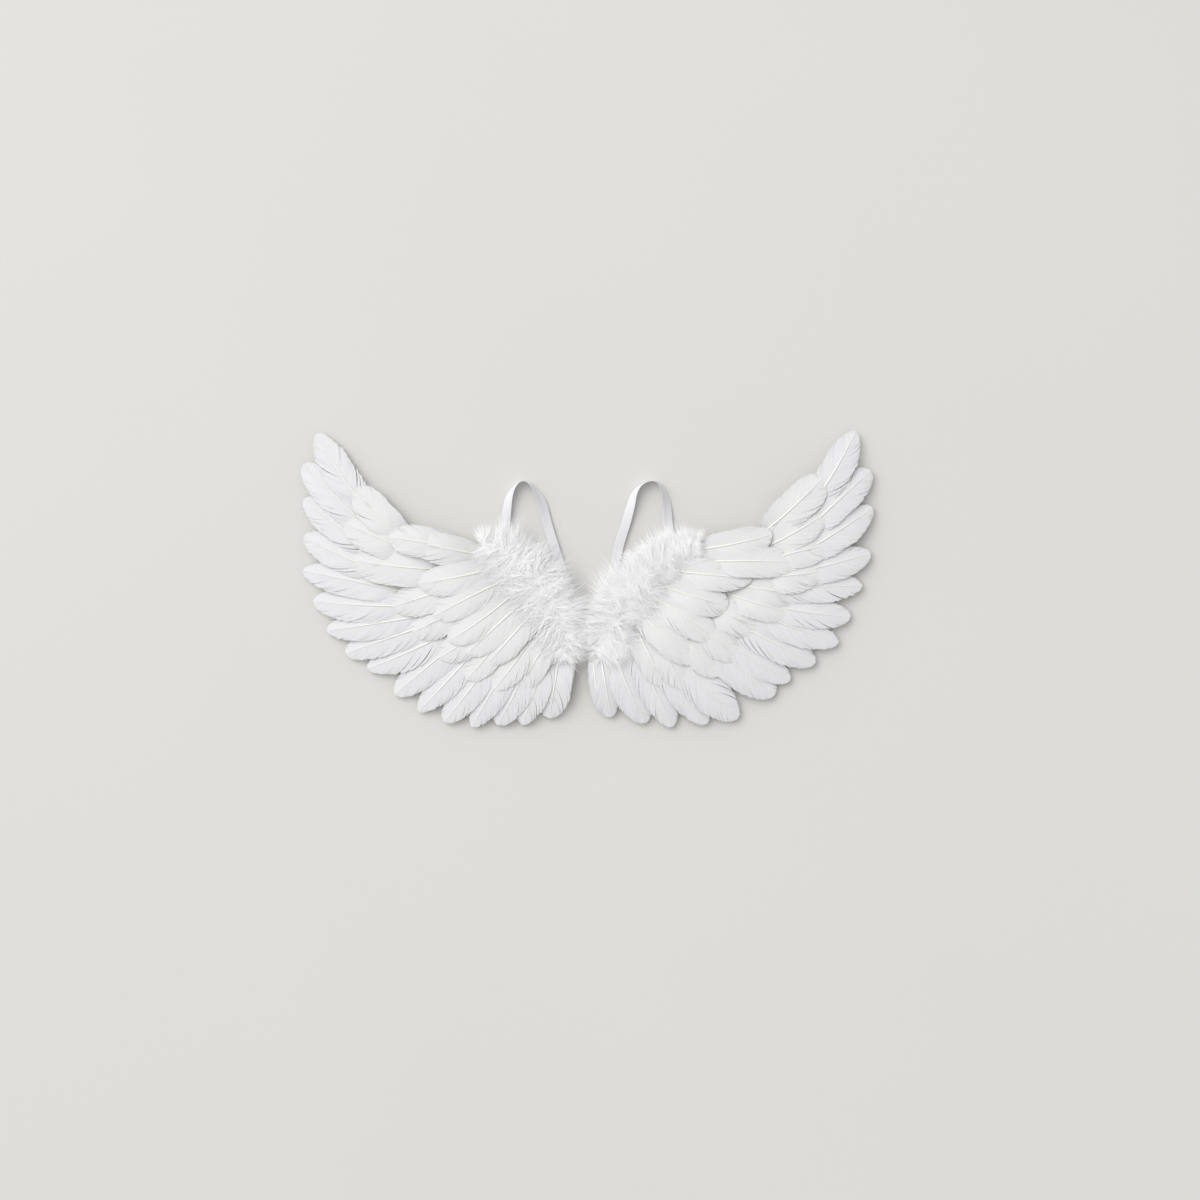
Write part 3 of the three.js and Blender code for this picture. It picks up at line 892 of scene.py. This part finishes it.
# %% Grow the flights
def flights(side, table, next_side, first_seed):
    count = 0
    for place, (tip, quill, *width) in enumerate(table, start=1):
        width = width[0] if width else FLIGHT_ROW["width"]
        name = f"{side}_flight_{place:02d}"
        one = make_feather(name + "_feather", FLIGHT_ROW, tip, quill, width, next_side,
                           first_seed + place, FLIGHT_VANE)
        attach(one, "root")
        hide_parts(name)
        count += len(one.data.polygons)
    return count


print("left flight faces:", flights("left", LEFT_FLIGHT, next_side=-1, first_seed=10))
print("right flight faces:", flights("right", RIGHT_FLIGHT, next_side=1, first_seed=60))

# %% [markdown]
# ## Coverts
# Two rows of shorter feathers cover the quills of the row before. Each row is sewn to its
# own tape first, so a row is one piece: its feathers and tape are joined into one mesh. The
# feathers are made a little wider than the solids', so that the rows close up.

# %% Where the coverts lie
MIDDLE_ROW = {"width": 30, "climb": 9.9, "within": 48, "curl": 4.5, "barb_pitch": 1.2, "point": 0.5}
INNER_ROW = {"width": 29, "climb": 13.0, "within": 66, "curl": 4.8, "barb_pitch": 1.2, "point": 0.5}
LEFT_MIDDLE = [
    ((-243, 96), (-181, 33)), ((-256, 60), (-176, 24)), ((-246, 21), (-141, 11), 35),
    ((-205, -28), (-124, -1), 33), ((-184, -55), (-105, -14)), ((-156, -82), (-85, -27)),
    ((-127, -104), (-66, -37), 27), ((-99, -115), (-48, -44), 27), ((-72, -112), (-36, -46), 26),
]
RIGHT_MIDDLE = [
    ((246, 107), (180, 46), 32), ((249, 70), (175, 29)), ((251, 37), (170, 16)),
    ((246, 10), (165, 4)), ((218, -15), (144, -3)), ((213, -35), (133, -10)),
    ((181, -49), (115, -18)), ((159, -82), (97, -32)), ((138, -100), (83, -38), 27),
    ((101, -114), (65, -42), 27), ((80, -110), (46, -42), 26),
]
LEFT_INNER = [
    ((-209, 45), (-125, 31)), ((-181, 41), (-105, 26)), ((-178, -4), (-87, 15)),
    ((-162, -38), (-79, 4)), ((-146, -64), (-70, -7)), ((-127, -77), (-60, -15), 27),
    ((-105, -87), (-48, -22), 27),
]
RIGHT_INNER = [
    ((193, 48), (104, 31)), ((218, 19), (99, 19)), ((173, 3), (76, 12)),
    ((147, -27), (63, -1)), ((136, -61), (54, -9)), ((111, -86), (43, -19), 27),
]
print("coverts:", sum(map(len, (LEFT_MIDDLE, RIGHT_MIDDLE, LEFT_INNER, RIGHT_INNER))))

# %% Grow and join a row
TAPE_BAND = {"Width": 6 * MM, "Thickness": 1.4 * MM, "Ribs": 5.0, "Stations": 40, "Finish": TAPE}
TAPE_HEIGHT = 3.0
TAPE_FROM_QUILL = 2
OVERLAP = 1.14


def quill_tape(name, table):
    rows = []
    for tip, quill, *_ in table:
        towards_tip = (Vector(tip) - Vector(quill)).normalized()
        at = Vector(quill) + TAPE_FROM_QUILL * towards_tip
        rows.append((at.x * MM, at.y * MM, TAPE_HEIGHT * MM, 0.0))
    return grow(name, BAND, TAPE_BAND, path_mesh(name + "_path", rows, ["lean"]))


def joined(name, parts):
    with bpy.context.temp_override(active_object=parts[0], selected_editable_objects=parts):
        bpy.ops.object.join()
    parts[0].name = name
    parts[0].data.name = name
    return parts[0]


def covert_row(side, row_name, row, table, next_side, first_seed):
    parts = []
    for place, (tip, quill, *width) in enumerate(table, start=1):
        width = (width[0] if width else row["width"]) * OVERLAP
        one = make_feather(f"{side}_{row_name}_{place}", row, tip, quill, width, next_side,
                           first_seed + place, COVERT_VANE)
        parts.append(one)
    parts.append(quill_tape(f"{side}_{row_name}_tape", table))
    whole = joined(f"{side}_{row_name}_feathers", parts)
    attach(whole, "root")
    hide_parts(f"{side}_{row_name}_coverts")
    return len(whole.data.polygons)


for side, row_name, row, table, next_side, first_seed in (
    ("left", "middle", MIDDLE_ROW, LEFT_MIDDLE, -1, 110),
    ("right", "middle", MIDDLE_ROW, RIGHT_MIDDLE, 1, 130),
    ("left", "inner", INNER_ROW, LEFT_INNER, -1, 150),
    ("right", "inner", INNER_ROW, RIGHT_INNER, 1, 170),
):
    faces = covert_row(side, row_name, row, table, next_side, first_seed)
    print(side, row_name, "covert faces:", faces)

# %% [markdown]
# ## Marabou trim
# Marabou is soft down tied to a cord, and it hides where the last quills are sewn. Hair
# particles would do for a picture, but the part has to be a mesh that goes with it, so a
# tree lays thousands of thin tapering strands. They stand in tufts along a core, each tuft
# a small plume with its own direction, and every plume droops a little under its weight.
# Where plumes lie over the coverts they are kept above them.

# %% Tufts of the trim
TRIM_INPUTS = {"Path": "shape", "Tufts": "int", "Strands": "int", "Reach": "float", "Droop": "float",
               "Depth": "float", "Covert side": "float", "Seed": "int", "Down": "material"}
SWING = math.radians(52)
ROOT_OFFSET = (-0.15, 0.5)
LAYERS_BELOW = 0.4
# Where in the row of random numbers each kind of chance starts
SIDE_OF_TUFT, SWING_OF_TUFT, ROOT_OF_TUFT, LAYER_OF_TUFT = 3000, 6000, 9000, 12000


def plume_root(tree, given, core, tuft):
    seed = given["Seed"]
    factor = (tuft + chance(tree, tuft, seed)) / given["Tufts"]
    sample = lay(tree, "GeometryNodeSampleCurve",
                 {"Curves": core, "Factor": factor, "Value": mark_of(tree, "girth")},
                 mode="FACTOR", use_all_curves=False, data_type="FLOAT")
    radius = Field(tree, sample.outputs["Value"])
    px, py, pz = vector_parts(tree, sample.outputs["Position"])
    ax, ay, _ = vector_parts(tree, sample.outputs["Tangent"])
    outwards = (chance(tree, tuft + SIDE_OF_TUFT, seed) - 0.5).math("SIGN")
    swing = chance(tree, tuft + SWING_OF_TUFT, seed, -SWING, SWING)
    cross, lengthwise = outwards * swing.math("COSINE"), swing.math("SINE")
    way = (ay * cross + ax * lengthwise, ay * lengthwise - ax * cross)
    back = chance(tree, tuft + ROOT_OF_TUFT, seed, *ROOT_OFFSET) * radius * outwards
    layer = (chance(tree, tuft + LAYER_OF_TUFT, seed) - LAYERS_BELOW) * radius * given["Depth"]
    over_coverts = (outwards * given["Covert side"]).math("MAXIMUM", 0.0)
    return radius, way, (px - ay * back, py + ax * back, pz + layer), over_coverts


print("trim inputs:", len(TRIM_INPUTS))

# %% Strands of a tuft
STRAND_POINTS = 4
STRAND_SIDES = 3
STRAND_RADIUS = 0.26 * MM
STRAND_FLATNESS = 0.2
STRAND_TIP = 0.02
SHORTEST_PLUME = 1.2
LEAST_OPEN, OPENER_AT_ROOT, OPEN_BY_CHANCE = 0.15, 0.5, (-0.15, 0.25)
STRAND_LENGTH, SHORTER_AT_TIP = (0.5, 0.85), 0.45
PLUME_SHAFT = 0.55
FORWARD_BEND, SIDE_BEND = 0.3, 0.35
PLUME_RISE = (0.02, 0.2)
STRAY = (-0.05, 0.08)
LOWEST_STRAND = 7.5 * MM
LOWEST_OVER_COVERTS = 10.5 * MM
COVERT_RISE = 0.15
PLUME_OF_TUFT, RISE_OF_TUFT = 15000, 18000
LENGTH_OF_STRAND, STRAY_OF_STRAND, TONE_OF_STRAND = 20000, 40000, 60000


def strands(tree, given, core):
    lines, number, t = many_lines(tree, given["Tufts"] * given["Strands"], STRAND_POINTS)
    seed = given["Seed"]
    tuft = (number / given["Strands"]).math("FLOOR")
    radius, (dx, dy), (px, py, pz), over_coverts = plume_root(tree, given, core, tuft)
    plume = radius * chance(tree, tuft + PLUME_OF_TUFT, seed, SHORTEST_PLUME, given["Reach"])
    rank = number - tuft * given["Strands"]
    branch = rank.math("MODULO", 2.0) * 2 - 1
    up_shaft = (rank / given["Strands"]).math("MINIMUM", 1.0)
    spread = chance(tree, number, seed, *OPEN_BY_CHANCE)
    open_angle = (1 - up_shaft) * OPENER_AT_ROOT + LEAST_OPEN + spread
    sideways = open_angle.math("SINE") * branch
    onwards = open_angle.math("COSINE")
    share_of_plume = chance(tree, number + LENGTH_OF_STRAND, seed, *STRAND_LENGTH)
    size = plume * (1 - up_shaft * SHORTER_AT_TIP) * share_of_plume
    along = up_shaft * plume * PLUME_SHAFT + size * (onwards * t + t * t * FORWARD_BEND)
    aside = size * sideways * (t - t * t * SIDE_BEND)
    rise = chance(tree, tuft + RISE_OF_TUFT, seed, *PLUME_RISE)
    share = along / plume
    stray = chance(tree, number + STRAY_OF_STRAND, seed, *STRAY) * t * size
    free = pz + (rise * share - share * share * given["Droop"]) * plume
    over = along * COVERT_RISE + (LOWEST_OVER_COVERTS - LOWEST_STRAND)
    lowest = over_coverts * over + LOWEST_STRAND
    place = lay(tree, "ShaderNodeCombineXYZ", {
        "X": px + dx * along - dy * aside,
        "Y": py + dy * along + dx * aside,
        "Z": free.math("MAXIMUM", lowest) + stray,
    })
    placed = moved(tree, lines, place.outputs["Vector"])
    toned = marked(tree, placed, "tone", chance(tree, number + TONE_OF_STRAND, seed))
    thickness = (1 + STRAND_TIP - t) * STRAND_RADIUS
    return swept(tree, toned, thickness, STRAND_SIDES, STRAND_FLATNESS, given["Down"], rounded=False)


print("strand thickness:", 2 * STRAND_RADIUS / MM, "mm")

# %% The whole trim
CORE_STATIONS = 40
CORE_SIDES = 10
CORE_FLATNESS = 0.8
CORE_SHARE = 0.16


def marabou_tree():
    outputs = {"Trim": "shape"}
    tree, given, exit_node = start_tree("marabou", "GeometryNodeTree", TRIM_INPUTS, outputs)
    core = smooth_path(tree, given["Path"], CORE_STATIONS)
    core_radius = mark_of(tree, "girth") * CORE_SHARE
    cord = swept(tree, core, core_radius, CORE_SIDES, CORE_FLATNESS, given["Down"], capped=True)
    whole = together(tree, (cord, strands(tree, given, core)))
    tree.links.new(whole, exit_node.inputs["Trim"])
    return tree


MARABOU = marabou_tree()
print("marabou tree:", len(MARABOU.nodes), "nodes")

# %% Grow the trims
TRIM = {"Tufts": 420, "Strands": 25, "Reach": 2.5, "Droop": 0.2, "Depth": 0.35, "Down": DOWN}
# Each point of a core has its place, its height and its girth, in millimetres.
LEFT_TRIM = [(-109, 38, 13.0, 10), (-91, 32, 13.0, 16), (-69, 17, 13.0, 19), (-50, -7, 13.0, 20),
             (-35, -31, 12.6, 20), (-27, -55, 12.0, 18), (-24, -78, 11.4, 12)]
RIGHT_TRIM = [(113, 40, 13.0, 9), (93, 33, 13.0, 13), (70, 18, 13.0, 16), (48, -6, 13.0, 17.5),
              (30, -31, 12.6, 19), (18, -55, 12.0, 18), (13, -78, 11.4, 12)]


def marabou_trim(side, table, covert_side, seed):
    rows = [tuple(v * MM for v in row) for row in table]
    values = {**TRIM, "Covert side": float(covert_side), "Seed": seed}
    trim = grow(side + "_trim", MARABOU, values, path_mesh(side + "_trim_path", rows, ["girth"]))
    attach(trim, "root")
    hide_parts(side + "_marabou")
    return trim


for side, table, covert_side, seed in (("left", LEFT_TRIM, 1, 210), ("right", RIGHT_TRIM, -1, 240)):
    trim = marabou_trim(side, table, covert_side, seed)
    print(trim.name, len(trim.data.polygons), "faces", [round(v, 4) for v in trim.dimensions])
